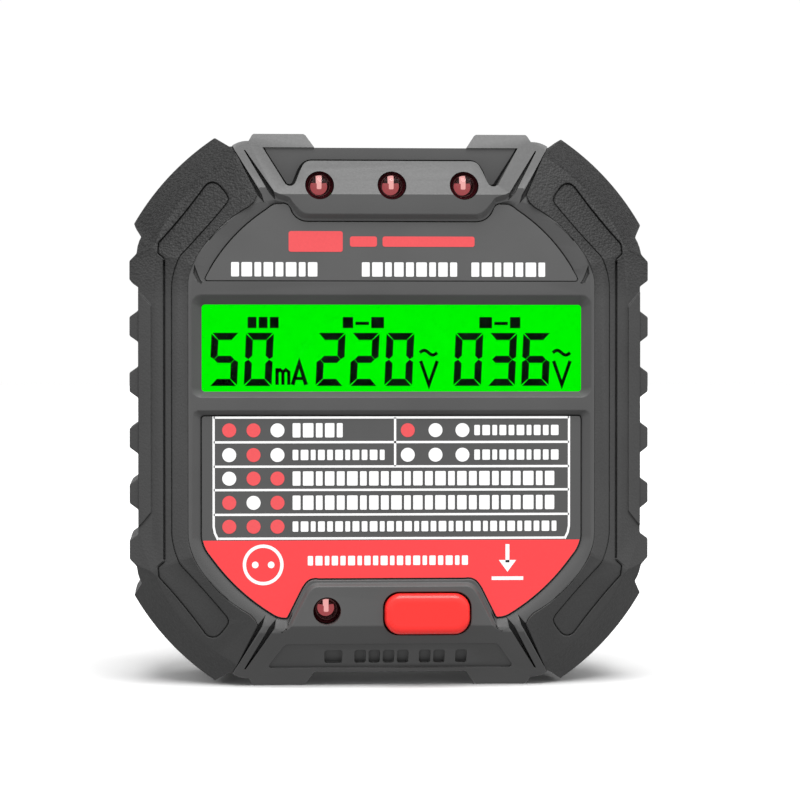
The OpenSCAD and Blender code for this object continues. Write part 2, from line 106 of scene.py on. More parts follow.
# Bevels round the face: (direction in degrees from +x towards +z, start, depth per width)
DIAGONAL = 43.8
DIAGONALS = (DIAGONAL, 180 - DIAGONAL, 180 + DIAGONAL, 360 - DIAGONAL)
TOP_AND_BOTTOM = (90, 270)
LEFT_AND_RIGHT = (0, 180)
SIDE_BEVELS = [(a, 24.6, 0.6) for a in LEFT_AND_RIGHT] + [(a, 30.3, 0.6) for a in DIAGONALS]
BEVELS = [(a, 27.1, 0.7) for a in TOP_AND_BOTTOM] + SIDE_BEVELS
GRIP_BEVELS = [(a, 27.5, 0.7) for a in TOP_AND_BOTTOM] + SIDE_BEVELS
REAR_BEVELS = (
    [(a, EDGE_Z - 2.5) for a in TOP_AND_BOTTOM]
    + [(a, HALF_W - 2.5) for a in LEFT_AND_RIGHT]
    + [(a, 37.7) for a in DIAGONALS]
)


# ------------ outlines

def bow(a, b, rise, n=10):
    """Points on a shallow arc from a to b that rises to its left."""
    a, b = Vector(a), Vector(b)
    along = b - a
    side = Vector((-along.y, along.x)).normalized()
    out = []
    for i in range(n + 1):
        t = i / n
        out.append(tuple(a + along * t + side * 4 * rise * t * (1 - t)))
    return out


def rounded(corners, n=6):
    """A closed outline from (x, z) or (x, z, radius) corners."""
    out = []
    count = len(corners)
    for i, corner in enumerate(corners):
        p = Vector(corner[:2])
        radius = corner[2] if len(corner) > 2 else 0
        if not radius:
            out.append(tuple(p))
            continue
        back = (Vector(corners[i - 1][:2]) - p).normalized()
        ahead = (Vector(corners[(i + 1) % count][:2]) - p).normalized()
        half = back.angle(ahead) / 2
        centre = p + (back + ahead).normalized() * radius / math.sin(half)
        start = p + back * radius / math.tan(half) - centre
        end = p + ahead * radius / math.tan(half) - centre
        for k in range(n + 1):
            out.append(tuple(centre + start.slerp(end, k / n) * radius))
    return out


def back_in_x(points):
    return [(-p[0], *p[1:]) for p in reversed(points)]


def back_in_z(points):
    return [(p[0], -p[1], *p[2:]) for p in reversed(points)]


def lower(points):
    """The points moved down with the lamps, apart from those on the top edge."""
    return [(x, z - LAMP_DROP if z < EDGE_Z - 0.6 else z) for x, z in points]


def both_sides(points):
    """The right half of an outline, from its top to its bottom, with its mirror image."""
    return points + back_in_x(points)


def all_quarters(points):
    """The upper right quarter of an outline, with its mirror images."""
    return both_sides(points + back_in_z(points))


def shrink(points, by):
    """The outline moved inwards by a small distance, with mitred corners."""
    count = len(points)
    area = sum(
        points[i][0] * points[(i + 1) % count][1] - points[(i + 1) % count][0] * points[i][1]
        for i in range(count)
    )
    turn = 1 if area > 0 else -1
    out = []
    for i in range(count):
        p = Vector(points[i])
        before = (p - Vector(points[i - 1])).normalized()
        after = (Vector(points[(i + 1) % count]) - p).normalized()
        normals = [Vector((-d.y, d.x)) * turn for d in (before, after)]
        mid = (normals[0] + normals[1]).normalized()
        out.append(tuple(p + mid * by / max(0.3, mid.dot(normals[0]))))
    return out


def circle(x, z, radius, n=48):
    turns = [2 * math.pi * k / n for k in range(n)]
    return [(x + radius * math.cos(a), z + radius * math.sin(a)) for a in turns]


def rounded_rect(x, z, w, h, radius, n=8):
    a, b = w / 2, h / 2
    corners = [(x + a, z + b), (x - a, z + b), (x - a, z - b), (x + a, z - b)]
    return rounded([(*corner, radius) for corner in corners], n)


def tooth(z):
    """One tooth of the grip's edge, from its top down."""
    return [(HALF_W, z + 1.97), (TOOTH_X, z + 1.2), (TOOTH_X, z - 1.2), (HALF_W, z - 1.97)]


TOP_EDGE = [
    (9.6, EDGE_Z), (10.6, HALF_H - 0.15), (10.85, HALF_H), (17.3, HALF_H), (17.5, HALF_H - 0.15),
] + bow((17.95, HALF_H - 0.94), (20, HALF_H - 1.55), 0.18, 6)
BUMPER_ARC = bow((22.2, HALF_H - 0.32), (HALF_W + 0.6, 23.65), 0.87, 20)
SIDE_EDGE = (
    [(20.3, HALF_H - 1.65)]
    + BUMPER_ARC
    + [(HALF_W - 0.4, 22), (HALF_W - 0.12, 21.4), (HALF_W + 0.08, 20.7), (HALF_W + 0.2, 19.75)]
    + tooth(17.65)[1:]
    + tooth(10.59)
    + tooth(3.53)
)
RIM_EDGE = (
    [(16.9, 27), (17.3, 26.2)]
    + bow((17.9, 25.6), (24.3, 19.6), 0.55, 8)
    + bow((24.6, 19.1), (25.6, 15.4), 0.25, 5)
)
CORE_EDGE = bow((20.9, HALF_H - 3.1), (HALF_W - 2.3, 22.8), 0.7, 8)
CAVITY_EDGE = [(19.4, EDGE_Z - 2), (HALF_W - 4.3, 22)]
CAVITY = both_sides(CAVITY_EDGE + back_in_z(CAVITY_EDGE))

# The two label recesses: at the label's own level, and where their sloping edge meets the rim
TOP_LABEL = both_sides(lower(
    bow((10.6, 24.1), (12.5, 25.2), -0.3, 6)
    + bow((12.8, 25.9), (13.6, 26.35), 0.12, 4)
    + bow((14.6, 26.3), (15.5, 25.85), 0.05, 3)
    + bow((15.8, 25.6), (23.35, 17.3), 0.72, 12)
    + [(23.55, 16.85), (23.3, 16.5)]
))
TOP_RECESS = both_sides(
    lower(
        bow((10.6, 24.1), (12.5, 25.2), -0.3, 6)
        + bow((12.8, 25.9), (13.6, 26.45), 0.12, 4)
        + bow((14.7, 26.7), (16.3, 26.6), 0.05, 3)
    )
    + [(x + 0.03, z + 0.03) for x, z in RIM_EDGE[2:11]]
    + [(24.62, 19.1), (24.75, 18.5), (24.9, 17.9), (25.0, 17.1)]
    + [(24.95, 16.5), (24.6, 16.19)]
)
CHART = both_sides(
    [(23.6, -0.64), (23.9, -0.75), (24, -1.1)]
    + bow((24, -15.9), (22.9, -18.4), 0.22, 5)
    + bow((22.6, -18.8), (15.6, -25.4), 0.45, 10)
    + bow((15.2, -25.65), (13.9, -26.2), 0.08, 3)
    + [(13.3, -26.25), (13.05, -26.1)]
    + bow((12.6, -25.2), (11.2, -22.4), 0, 3)
    + bow((11, -22.1), (9.2, -21.3), -0.35, 6)
)
CHART_RECESS = both_sides(
    [(24.4, 0), (24.85, -0.2), (25.05, -0.7)]
    + bow((25.15, -15.9), (24.2, -18.8), 0.22, 5)
    + bow((23.8, -19.5), (16.7, -26.2), 0.5, 10)
    + bow((16.2, -26.5), (14.6, -27.3), 0.08, 3)
    + [(13.3, -27.45), (12.9, -26.6)]
    + bow((12.6, -25.2), (11.2, -22.4), 0, 3)
    + bow((11, -22.1), (9.2, -21.3), -0.35, 6)
)
BEZEL_OUT = rounded_rect(0, 8.08, 50.4, 12.85, 1.3)
BEZEL_IN = rounded_rect(0.05, 7.82, 47.75, 10.8, 0.35)
LAMP_POD = both_sides(lower(
    [(18, HALF_H - 3)]
    + bow((15.3, 27.3), (14.5, 26.6), -0.1, 3)
    + bow((13.7, 26.35), (12.9, 25.8), -0.12, 4)
    + bow((12.4, 25), (10.6, 24.1), 0.3, 6)
))
LAMP_POD_FRONT = both_sides(lower(
    [(18, HALF_H - 3)]
    + bow((15.3, 28.1), (14.2, 27.5), -0.1, 3)
    + bow((13.3, 27.2), (12.6, 26.6), -0.12, 4)
    + bow((12, 25.9), (10.2, 24.95), 0.3, 6)
))
BUTTON_POD = both_sides(
    bow((9.1, -21.3), (11.1, -22.3), 0.35, 6)
    + bow((11.25, -22.5), (12.65, -25.3), 0, 3)
    + bow((13.1, -26.3), (14.2, -27.5), -0.1, 4)
    + [(18, 3 - HALF_H)]
)
BUTTON_POD_FRONT = both_sides(
    bow((8.9, -22.1), (10.55, -22.95), 0.3, 6)
    + bow((10.7, -23.15), (12.1, -25.9), 0, 3)
    + bow((12.6, -26.9), (13.6, -28.2), -0.1, 4)
    + [(18, 3 - HALF_H)]
)
NOTCH = both_sides(lower(
    bow((10.1, 31.8), (11.3, 30.9), 0.25, 5)
    + bow((11.5, 30.5), (12.05, 29.1), 0, 3)
    + bow((12.2, 28.8), (13.4, 28.75), -0.28, 6)
    + [(16.2, EDGE_Z + 0.02)]
))
NOTCH_FLOOR = both_sides(lower(
    bow((10.1, 32.05), (11.6, 31.05), 0.25, 5)
    + bow((11.85, 30.6), (12.35, 29.3), 0, 3)
    + bow((12.5, 29.05), (13.15, 29.05), -0.14, 6)
    + [(15.7, EDGE_Z - 0.5), (15.95, EDGE_Z)]
))
PANEL = both_sides(
    rounded([(0, -29.5), (13.4, -29.5, 0.8), (15.7, 0.5 - EDGE_Z, 0.3), (0, 0.5 - EDGE_Z)], 4)[1:-1]
)
OUTER_GROOVE = [(19.74, 32.6), (19.6, 32.68), (16.35, 27.1), (16.04, 26.0), (16.95, 27.0)]
INNER_GROOVE = [(18.54, 32.8), (18.4, 32.88), (14.8, 27.4), (14.65, 26.4), (15.45, 27.25)]
RECESS = (
    [(28.6, 19.0), (29.45, 19.75)]
    + bow((29.35, 21.1), (23.5, 28.3), 0.15, 8)
    + bow((23.1, 28.65), (21.6, 28.35), -0.25, 5)
    + bow((21.3, 28.0), (20.55, 26.9), -0.05, 3)
    + [(20.45, 26.45), (20.7, 25.95)]
    + bow((20.9, 25.7), (26.3, 19.6), -0.08, 6)
    + bow((26.6, 19.2), (27.6, 15.6), 0.18, 6)
)


# ------------ solids

def new_object(name, bm):
    """A mesh object from bm, whose sizes are in millimetres."""
    bmesh.ops.remove_doubles(bm, verts=bm.verts, dist=0.0005)
    bmesh.ops.recalc_face_normals(bm, faces=bm.faces)
    mesh = bpy.data.meshes.new(name)
    bm.to_mesh(mesh)
    bm.free()
    obj = bpy.data.objects.new(name, mesh)
    bpy.context.scene.collection.objects.link(obj)
    return obj


def add_loft(bm, rings):
    """A closed solid through rings of [x, y, z] points, one after the other."""
    loops = [[bm.verts.new(p) for p in ring] for ring in rings]
    count = len(loops[0])
    for a, b in zip(loops, loops[1:]):
        for i in range(count):
            bm.faces.new((a[i], a[(i + 1) % count], b[(i + 1) % count], b[i]))
    bm.faces.new(loops[0])
    bm.faces.new(loops[-1])


def at_depth(outline, y):
    return [(x, y, z) for x, z in outline]


def loft(*sections):
    """A solid through (outline, y) sections, one after the other."""
    bm = bmesh.new()
    add_loft(bm, [at_depth(outline, y) for outline, y in sections])
    return new_object("solid", bm)


def prism(outline, y0, y1):
    return loft((outline, y0), (outline, y1))


def box(x0, x1, y0, y1, z0, z1):
    return prism([(x0, z0), (x1, z0), (x1, z1), (x0, z1)], y0, y1)


def outward(degrees):
    """The direction on the face that lies this far from +x towards +z."""
    a = math.radians(degrees)
    return Vector((math.cos(a), 0, math.sin(a)))


def behind_planes(planes):
    """Everything behind the (point, normal) planes."""
    bm = bmesh.new()
    bmesh.ops.create_cube(bm, size=120)
    for point, normal in planes:
        cut_plane(bm, point, normal)
    return new_object("crown", bm)


def crown(inset, bevels=BEVELS):
    """Everything behind the bevels of the face, moved back by inset."""
    front = Vector((0, POD_Y + inset, 0))
    planes = [(front, Vector((0, -1, 0)))]
    for degrees, start, slope in bevels:
        out = outward(degrees)
        planes.append((front + out * start, out - Vector((0, 1 / slope, 0))))
    return behind_planes(planes)


def boolean(target, tools, operation):
    """target joined to, cut by or kept inside each tool, which is used up."""
    for tool in tools:
        mod = target.modifiers.new("boolean", "BOOLEAN")
        mod.operation = operation
        mod.solver = "MANIFOLD"
        mod.object = tool
        depsgraph = bpy.context.evaluated_depsgraph_get()
        mesh = bpy.data.meshes.new_from_object(target.evaluated_get(depsgraph))
        target.modifiers.clear()
        old = target.data
        target.data = mesh
        bpy.data.meshes.remove(old)
        bpy.data.meshes.remove(tool.data)
    return target


def join(target, *tools):
    return boolean(target, tools, "UNION")


def cut(target, *tools):
    return boolean(target, tools, "DIFFERENCE")


def keep_inside(target, *tools):
    return boolean(target, tools, "INTERSECT")


def bevel_cut(outline, depth, bevels=BEVELS):
    """A tool that cuts the outline to a depth below the bevelled face."""
    return cut(prism(outline, POD_Y - 1, POD_Y + 11), crown(depth, bevels))


def corners_of(outline):
    """The outline in each of the four corners of the face."""
    flat = [(-x, z) for x, z in outline]
    return [outline, flat, [(x, -z) for x, z in outline], [(x, -z) for x, z in flat]]


def tidy(obj, angle=0.5):
    """Joins the flat faces that the cuts left in pieces."""
    bm = bmesh.new()
    bm.from_mesh(obj.data)
    bmesh.ops.remove_doubles(bm, verts=bm.verts, dist=0.002)
    bmesh.ops.dissolve_limit(
        bm, angle_limit=math.radians(angle), verts=bm.verts, edges=bm.edges, delimit={"NORMAL"}
    )
    bmesh.ops.dissolve_degenerate(bm, dist=0.002, edges=bm.edges)
    bm.to_mesh(obj.data)
    bm.free()
    return obj


def to_metres(obj):
    for v in obj.data.vertices:
        v.co *= MM
    return obj


def round_edges(obj, width, segments=3, angle=25, marked=False):
    """Rounds the sharp edges, or the marked ones, by a width in millimetres."""
    mod = obj.modifiers.new("edge", "BEVEL")
    mod.width = width * MM
    mod.segments = segments
    mod.limit_method = "WEIGHT" if marked else "ANGLE"
    mod.angle_limit = math.radians(angle)
    mod.use_clamp_overlap = False
    if not marked:
        mod.miter_outer = "MITER_ARC"
    smooth_faces(obj)


def mark_edges(obj, angle=28):
    """Marks the sharp edges to round, and keeps those in fine places crisp."""
    bm = bmesh.new()
    bm.from_mesh(obj.data)
    weight = bm.edges.layers.float.new("bevel_weight_edge")
    for e in bm.edges:
        sharp = math.degrees(e.calc_face_angle(0)) > angle
        if sharp and any(fine_place(v.co) for v in e.verts):
            e.smooth = False
        elif sharp:
            e[weight] = 1
    bm.to_mesh(obj.data)
    bm.free()


def fine_place(p):
    """Whether a point of the shell is where its walls run out too finely to round."""
    by_notch = abs(p.x) < 20.2 and p.z > 26 and p.y < NOTCH_Y + 1.2
    in_dimple = 23 < abs(p.x) < 25.6 and 15.3 < p.z < 20.2
    x, z = TEST_LAMP
    by_test_lamp = abs(p.x - x) < 2 and abs(p.z - z) < 2
    return by_notch or in_dimple or by_test_lamp


def smooth_faces(obj):
    for face in obj.data.polygons:
        face.use_smooth = True
    weighted = obj.modifiers.new("normals", "WEIGHTED_NORMAL")
    weighted.keep_sharp = True
    weighted.weight = 80


def piece(obj, name, mat, body="housing", stands_for=()):
    """Names a finished piece, gives it its material and puts it on its body."""
    obj.name = name
    obj.data.name = name
    obj.data.materials.clear()
    obj.data.materials.append(mat)
    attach(obj, body)
    if stands_for:
        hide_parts(*stands_for)
    return obj


# ------------ materials

class Nodes:
    """Builds a material's node tree, one short call for each node."""

    def __init__(self, name):
        self.mat = bpy.data.materials.new(name)
        self.mat.use_nodes = True
        self.tree = self.mat.node_tree
        self.shader = self.tree.nodes["Principled BSDF"]
        self.place = self.add("ShaderNodeTexCoord").outputs["Object"]

    def add(self, kind, **inputs):
        node = self.tree.nodes.new(kind)
        for key, value in inputs.items():
            self.put(node.inputs[key.replace("_", " ")], value)
        return node

    def put(self, socket, value):
        if isinstance(value, bpy.types.NodeSocket):
            self.tree.links.new(value, socket)
        else:
            socket.default_value = value

    def set(self, **inputs):
        """Sets the shader's own inputs, where a socket's spaces are written as underscores."""
        for key, value in inputs.items():
            self.put(self.shader.inputs[key.replace("_", " ")], value)

    def noise(self, size_mm, detail=3.0, rough=0.55, stretch=None):
        where = self.place
        if stretch:
            mapped = self.add("ShaderNodeMapping", Vector=where)
            mapped.inputs["Scale"].default_value = stretch
            where = mapped.outputs["Vector"]
        node = self.add(
            "ShaderNodeTexNoise", Vector=where, Scale=1 / (size_mm * MM), Detail=detail,
            Roughness=rough,
        )
        return node.outputs["Fac"]

    def cells(self, size_mm):
        node = self.add("ShaderNodeTexVoronoi", Vector=self.place, Scale=1 / (size_mm * MM))
        return node.outputs["Distance"]

    def spread(self, value, low, high, out_low=0.0, out_high=1.0):
        """Maps low..high to out_low..out_high."""
        node = self.tree.nodes.new("ShaderNodeMapRange")
        self.put(node.inputs[0], value)
        for i, number in enumerate((low, high, out_low, out_high)):
            self.put(node.inputs[i + 1], number)
        return node.outputs[0]

    def math(self, operation, a, b=0.0):
        node = self.tree.nodes.new("ShaderNodeMath")
        node.operation = operation
        self.put(node.inputs[0], a)
        self.put(node.inputs[1], b)
        return node.outputs[0]

    def mix(self, fac, a, b):
        node = self.tree.nodes.new("ShaderNodeMix")
        node.data_type = "RGBA"
        self.put(node.inputs[0], fac)
        self.put(node.inputs[6], a)
        self.put(node.inputs[7], b)
        return node.outputs[2]

    def axis(self, name):
        node = self.add("ShaderNodeSeparateXYZ", Vector=self.place)
        return node.outputs[name]

    def facing(self):
        """1 where the surface faces the front, 0 where it is square to it."""
        node = self.add("ShaderNodeNewGeometry")
        split = self.add("ShaderNodeSeparateXYZ", Vector=node.outputs["True Normal"])
        return self.math("MULTIPLY", split.outputs["Y"], -1.0)

    def bump(self, height, depth_mm, strength=1.0):
        node = self.add("ShaderNodeBump", Height=height, Distance=depth_mm * MM, Strength=strength)
        return node.outputs["Normal"]

    def edges(self):
        """1 on sharp outer edges, 0 elsewhere: where handling polishes a surface."""
        node = self.add("ShaderNodeNewGeometry")
        return self.spread(node.outputs["Pointiness"], 0.505, 0.56)


def grey(value):
    """The linear colour of an sRGB grey from 0 to 255."""
    return rgb(value, value, value)


def rgb(r, g, b):
    """The linear colour of sRGB numbers from 0 to 255."""
    out = []
    for c in (r, g, b):
        c = c / 255
        out.append(c / 12.92 if c <= 0.04045 else ((c + 0.055) / 1.055) ** 2.4)
    return (*out, 1.0)


def scaled(colour, by):
    return (*(c * by for c in colour[:3]), 1.0)


def plastic(name, colour, rough=0.5, grain_depth=0.01, vary=0.06):
    """Moulded plastic: a fine spark-eroded grain, slow colour drift and edges rubbed smooth."""
    n = Nodes(name)
    drift = n.noise(9, 2)
    worn = n.edges()
    base = n.mix(n.spread(drift, 0.3, 0.7), scaled(colour, 1 - vary), scaled(colour, 1 + vary))
    n.set(Base_Color=n.mix(n.math("MULTIPLY", worn, 0.35), base, scaled(colour, 1.35)))
    grain = n.noise(0.25, 4, 0.6)
    r = n.spread(grain, 0.3, 0.7, rough - 0.05, rough + 0.05)
    n.set(
        Roughness=n.math("SUBTRACT", r, n.math("MULTIPLY", worn, 0.12)),
        Normal=n.bump(grain, grain_depth, 0.6),
        Specular_IOR_Level=0.35,
    )
    return n.mat


def metal(name, colour, rough):
    """Plated metal with a fine worked grain and dull patches."""
    n = Nodes(name)
    lines = n.noise(0.4, 5, 0.65)
    patches = n.noise(3.5, 3)
    n.set(
        Metallic=1.0,
        Base_Color=n.mix(n.spread(patches, 0.35, 0.65), scaled(colour, 0.86), colour),
        Roughness=n.spread(lines, 0.3, 0.7, rough - 0.07, rough + 0.1),
        Normal=n.bump(lines, 0.004, 0.5),
    )
    return n.mat


def rubber(name, colour):
    """Soft overmould: leathery wrinkles, strongest on the upper bumpers, with a matt skin, and
    painted shade that darkens the upper bumpers, their outer facets the most.
    """
    n = Nodes(name)
    wrinkles = n.noise(0.42, 3, 0.6, stretch=(1.5, 1, 0.8))
    pores = n.cells(0.3)
    height = n.math("ADD", n.math("MULTIPLY", wrinkles, 0.8), n.math("MULTIPLY", pores, 0.7))
    # The upper bumpers: where the wrinkles are deepest and where the shade is painted.
    upper = n.spread(n.axis("Z"), 0.014, 0.021)
    deep = n.math("ADD", n.math("MULTIPLY", upper, 0.8), 0.2)
    height = n.math("MULTIPLY", height, deep)
    drift = n.spread(n.noise(6, 2), 0.3, 0.7)
    base = n.mix(drift, scaled(colour, 0.93), scaled(colour, 1.06))
    # Painted shade: the upper bumpers are darkened strongly, and the facets turned away from the
    # front the most.
    slope = n.spread(n.facing(), 0.62, 0.86, 1.0, 0.84)
    with_painted_shade = n.mix(n.math("MULTIPLY", upper, slope), base, scaled(colour, 0.08))
    speckle = n.math("MULTIPLY", n.spread(height, 0.55, 0.95, 0.22, 0.0), upper)
    with_painted_shade = n.mix(speckle, with_painted_shade, scaled(colour, 1.2))
    n.set(
        Base_Color=n.mix(n.math("MULTIPLY", n.edges(), 0.3), with_painted_shade, scaled(colour, 1.5)),
        Roughness=n.spread(wrinkles, 0.3, 0.7, 0.55, 0.72),
        Normal=n.bump(height, 0.2, 0.9),
        Specular_IOR_Level=0.3,
    )
    return n.mat


def film(name, colour):
    """Printed label film: smooth, with a faint orange-peel."""
    n = Nodes(name)
    peel = n.noise(0.8, 2)
    drift = n.noise(7, 2)
    n.set(
        Base_Color=n.mix(n.spread(drift, 0.3, 0.7), scaled(colour, 0.96), scaled(colour, 1.04)),
        Roughness=n.spread(peel, 0.3, 0.7, 0.38, 0.46),
        Normal=n.bump(peel, 0.004, 0.4),
        Specular_IOR_Level=0.3,
    )
    return n.mat


def ink(name, colour, rough=0.45, specular=0.3):
    """Screen-printed ink, with a slightly uneven coat."""
    n = Nodes(name)
    coat = n.noise(0.3, 3)
    n.set(
        Base_Color=n.mix(n.spread(coat, 0.3, 0.7), scaled(colour, 0.95), colour),
        Roughness=n.spread(coat, 0.3, 0.7, rough - 0.05, rough + 0.05),
        Specular_IOR_Level=specular,
    )
    return n.mat


def lit(name, colour, strength=1.0):
    """A surface with its own light, even to within two parts in a hundred."""
    n = Nodes(name)
    even = n.noise(12, 2)
    n.set(
        Base_Color=(0.0, 0.01, 0.0, 1),
        Emission_Color=n.mix(n.spread(even, 0.3, 0.7), scaled(colour, 0.98), colour),
        Emission_Strength=strength,
        Roughness=0.4,
        Specular_IOR_Level=0.0,
    )
    return n.mat


def clear(name, tint, rough, specular, ior):
    """Clear plastic with a faint haze."""
    n = Nodes(name)
    haze = n.noise(2.5, 3)
    n.set(
        Base_Color=n.mix(n.spread(haze, 0.3, 0.7), scaled(tint, 0.97), tint),
        Transmission_Weight=1.0,
        IOR=ior,
        Roughness=n.spread(haze, 0.3, 0.7, rough, rough + 0.02),
        Specular_IOR_Level=specular,
    )
    return n.mat


SHELL = plastic("shell_plastic", grey(72), rough=0.55)
GRIP = rubber("grip_rubber", grey(58))
TOP_FILM = film("top_label_film", grey(82))
CHART_FILM = film("chart_film", grey(75))
RED_INK = ink("red_ink", rgb(243, 62, 66))
CORAL_INK = ink("coral_ink", rgb(222, 80, 84))
WHITE_INK = ink("white_ink", grey(238))
BUTTON_RED = plastic("button_plastic", rgb(238, 44, 40), rough=0.36, grain_depth=0.004, vary=0.03)
BLACK = plastic("black_plastic", grey(40), rough=0.45)
GREEN = lit("lcd_light", rgb(0, 246, 1))
SEGMENT = ink("lcd_segment", rgb(8, 16, 10), 0.8, 0.0)
WINDOW = clear("window_acrylic", (0.98, 1, 0.98, 1), 0.01, 0.1, 1.02)
LENS = clear("lamp_lens", rgb(244, 190, 192), 0.02, 0.4, 1.25)
# Painted light: the lamps are off, yet their cup and post glow, and the post's glow stands for the
# highlight at the top of each lens.
POST_PAINTED_GLOW = lit("lamp_post_painted_glow", rgb(255, 206, 202), 0.95)
CUP_PAINTED_GLOW = lit("lamp_cup_painted_glow", rgb(190, 104, 108), 0.75)
# Painted shade: a near-black sleeve in each lamp hole stands in for the shade round the lens.
WELL_PAINTED_SHADE = plastic("lamp_well_painted_shade", rgb(38, 4, 8), rough=0.4)
NICKEL = metal("pin_nickel", rgb(214, 210, 200), 0.22)
BRASS = metal("contact_brass", rgb(206, 176, 106), 0.3)
STEEL = metal("screw_steel", rgb(170, 170, 174), 0.3)
TIN = metal("tinned_metal", rgb(200, 202, 206), 0.3)
BOARD = plastic("board", rgb(20, 84, 44), rough=0.4)
INSULATOR = plastic("insulator", rgb(226, 220, 200), rough=0.5)


# ------------ the shells and grips

def corner_points(x, z):
    return [(x, z), (-x, z), (x, -z), (-x, -z)]


def front_cavity():
    """The tool that hollows the front half and leaves its four screw posts."""
    hollow = keep_inside(prism(CAVITY, CAVITY_Y, PARTING_Y + 1), crown(4.5))
    posts = [circle(x, z, 3, 24) for x, z in corner_points(SCREW_X, SCREW_Z)]
    return cut(hollow, *[prism(post, CAVITY_Y - 1, PARTING_Y + 2) for post in posts])


def drafted(inner, y_inner, outer, y_outer):
    """A tool with sloping walls that cuts from the front down to y_inner."""
    return loft((outer, POD_Y - 1), (outer, y_outer), (inner, y_inner))


def front_block():
    """The front half's outside, with its two pods, before anything is cut from it."""
    block = join(
        prism(all_quarters(TOP_EDGE + RIM_EDGE), RIM_Y, PARTING_Y),
        loft((LAMP_POD_FRONT, POD_Y), (LAMP_POD, LABEL_Y), (LAMP_POD, PARTING_Y - 4)),
        loft((BUTTON_POD_FRONT, POD_Y), (BUTTON_POD, CHART_Y), (BUTTON_POD, PARTING_Y - 4)),
    )
    keep_inside(block, crown(0))
    core = keep_inside(prism(all_quarters(TOP_EDGE + CORE_EDGE), POD_Y, PARTING_Y), crown(1.5))
    return join(block, core)


def cut_label_recesses(shell):
    """The two label recesses, with a fine groove round each label, and the lamps' notch."""
    cut(
        shell,
        drafted(TOP_LABEL, LABEL_Y, TOP_RECESS, RIM_Y),
        drafted(CHART, CHART_Y, CHART_RECESS, RIM_Y),
        prism(NOTCH, POD_Y - 1, NOTCH_Y + 1),
        prism(TOP_LABEL, LABEL_Y - 0.1, LABEL_Y + 0.35),
        prism(CHART, CHART_Y - 0.1, CHART_Y + 0.3),
        *label_dimples(),
    )
    join(
        shell,
        prism(NOTCH_FLOOR, NOTCH_Y, NOTCH_Y + 2),
        prism(shrink(TOP_LABEL, 0.17), LABEL_Y, LABEL_Y + 0.5),
        prism(shrink(CHART, 0.15), CHART_Y, CHART_Y + 0.5),
    )


def cut_display_opening(shell):
    cut(
        shell,
        drafted(BEZEL_IN, WINDOW_Y, BEZEL_OUT, RIM_Y),
        prism(BEZEL_IN, WINDOW_Y - 0.5, CAVITY_Y + 2.5),
        box(-24.7, 24.7, WINDOW_Y, CAVITY_Y + 0.1, 1.4, 14.3),
        box(-25, 25, CAVITY_Y, CAVITY_Y + 3, 0.4, 15.8),
    )


def cut_lamp_holes(shell):
    holes = [circle(i * LAMP_PITCH, LAMP_Z, LAMP_HOLE_R) for i in (-1, 0, 1)]
    holes.append(circle(*TEST_LAMP, TEST_HOLE_R))
    for hole in holes:
        cut(shell, prism(hole, POD_Y - 1, PARTING_Y - 2))


def cut_button_hole(shell):
    """The button's opening, the space for its flange, and the engraved panel under it."""
    x, z = BUTTON
    gap = 2 * BUTTON_GAP
    cut(
        shell,
        prism(rounded_rect(x, z, BUTTON_W + gap, BUTTON_H + gap, BUTTON_R), POD_Y - 1, CAVITY_Y),
        box(x - 6.9, x + 6.9, POD_Y + 3.2, PARTING_Y - 3, z - 3.9, z + 3.9),
        bevel_cut(PANEL, 0.35),
        *engraved_marks(),
    )


def front_shell():
    shell = front_block()
    cut(shell, front_cavity())
    cut_label_recesses(shell)
    cut(shell, *both_ways(tab_gap, TAB_FRONT_Y, PARTING_Y + 1))
    cut_display_opening(shell)
    cut_lamp_holes(shell)
    cut_button_hole(shell)
    for outline in corners_of(OUTER_GROOVE) + corners_of(INNER_GROOVE):
        cut(shell, bevel_cut(outline, 1.6))
    tidy(shell)
    mark_edges(shell)
    to_metres(shell)
    round_edges(shell, 0.12, 2, marked=True)
    piece(shell, "front_shell_body", SHELL, stands_for=["front_shell"])


def tab_gap(y0, y1):
    """Clears the space between the top tabs, which widens towards the back."""
    sections = []
    for y in (y0, y1):
        out = (y - TAB_FRONT_Y) * 0.1
        half = [
            (11.2 + out, HALF_H + 2), (10.85 + out, HALF_H), (10.6 + out, HALF_H - 0.15),
            (9.6 + out, EDGE_Z),
        ]
        sections.append((both_sides(half), y))
    return loft(*sections)


def label_dimples():
    """The pits at the lower corners of the top label, where its sloping edge runs out."""
    pit = [(24.8, 18.4), (24.15, 16.8), (23.75, 16.05), (23.95, 15.75), (24.4, 16.0), (25.0, 17.2)]
    flat = [(-x, z) for x, z in pit]
    return [drafted(shrink(p, 0.18), RIM_Y + 0.5, p, RIM_Y - 0.1) for p in (pit, flat)]


def rear_crown():
    """Everything in front of the bevels of the back."""
    back = Vector((0, REAR_Y, 0))
    planes = []
    for degrees, start in REAR_BEVELS:
        out = outward(degrees)
        planes.append((back + out * start, out + Vector((0, 1, 0))))
    return behind_planes(planes)


def cut_plane(bm, point, normal):
    """Keeps what is behind a plane and closes the cut."""
    found = bmesh.ops.bisect_plane(
        bm, geom=bm.verts[:] + bm.edges[:] + bm.faces[:], plane_co=point,
        plane_no=normal.normalized(), clear_outer=True,
    )
    edges = [e for e in found["geom_cut"] if isinstance(e, bmesh.types.BMEdge)]
    bmesh.ops.contextual_create(bm, geom=edges)


def both_ways(tool_maker, *sizes):
    return [tool_maker(*sizes), flipped(tool_maker(*sizes))]


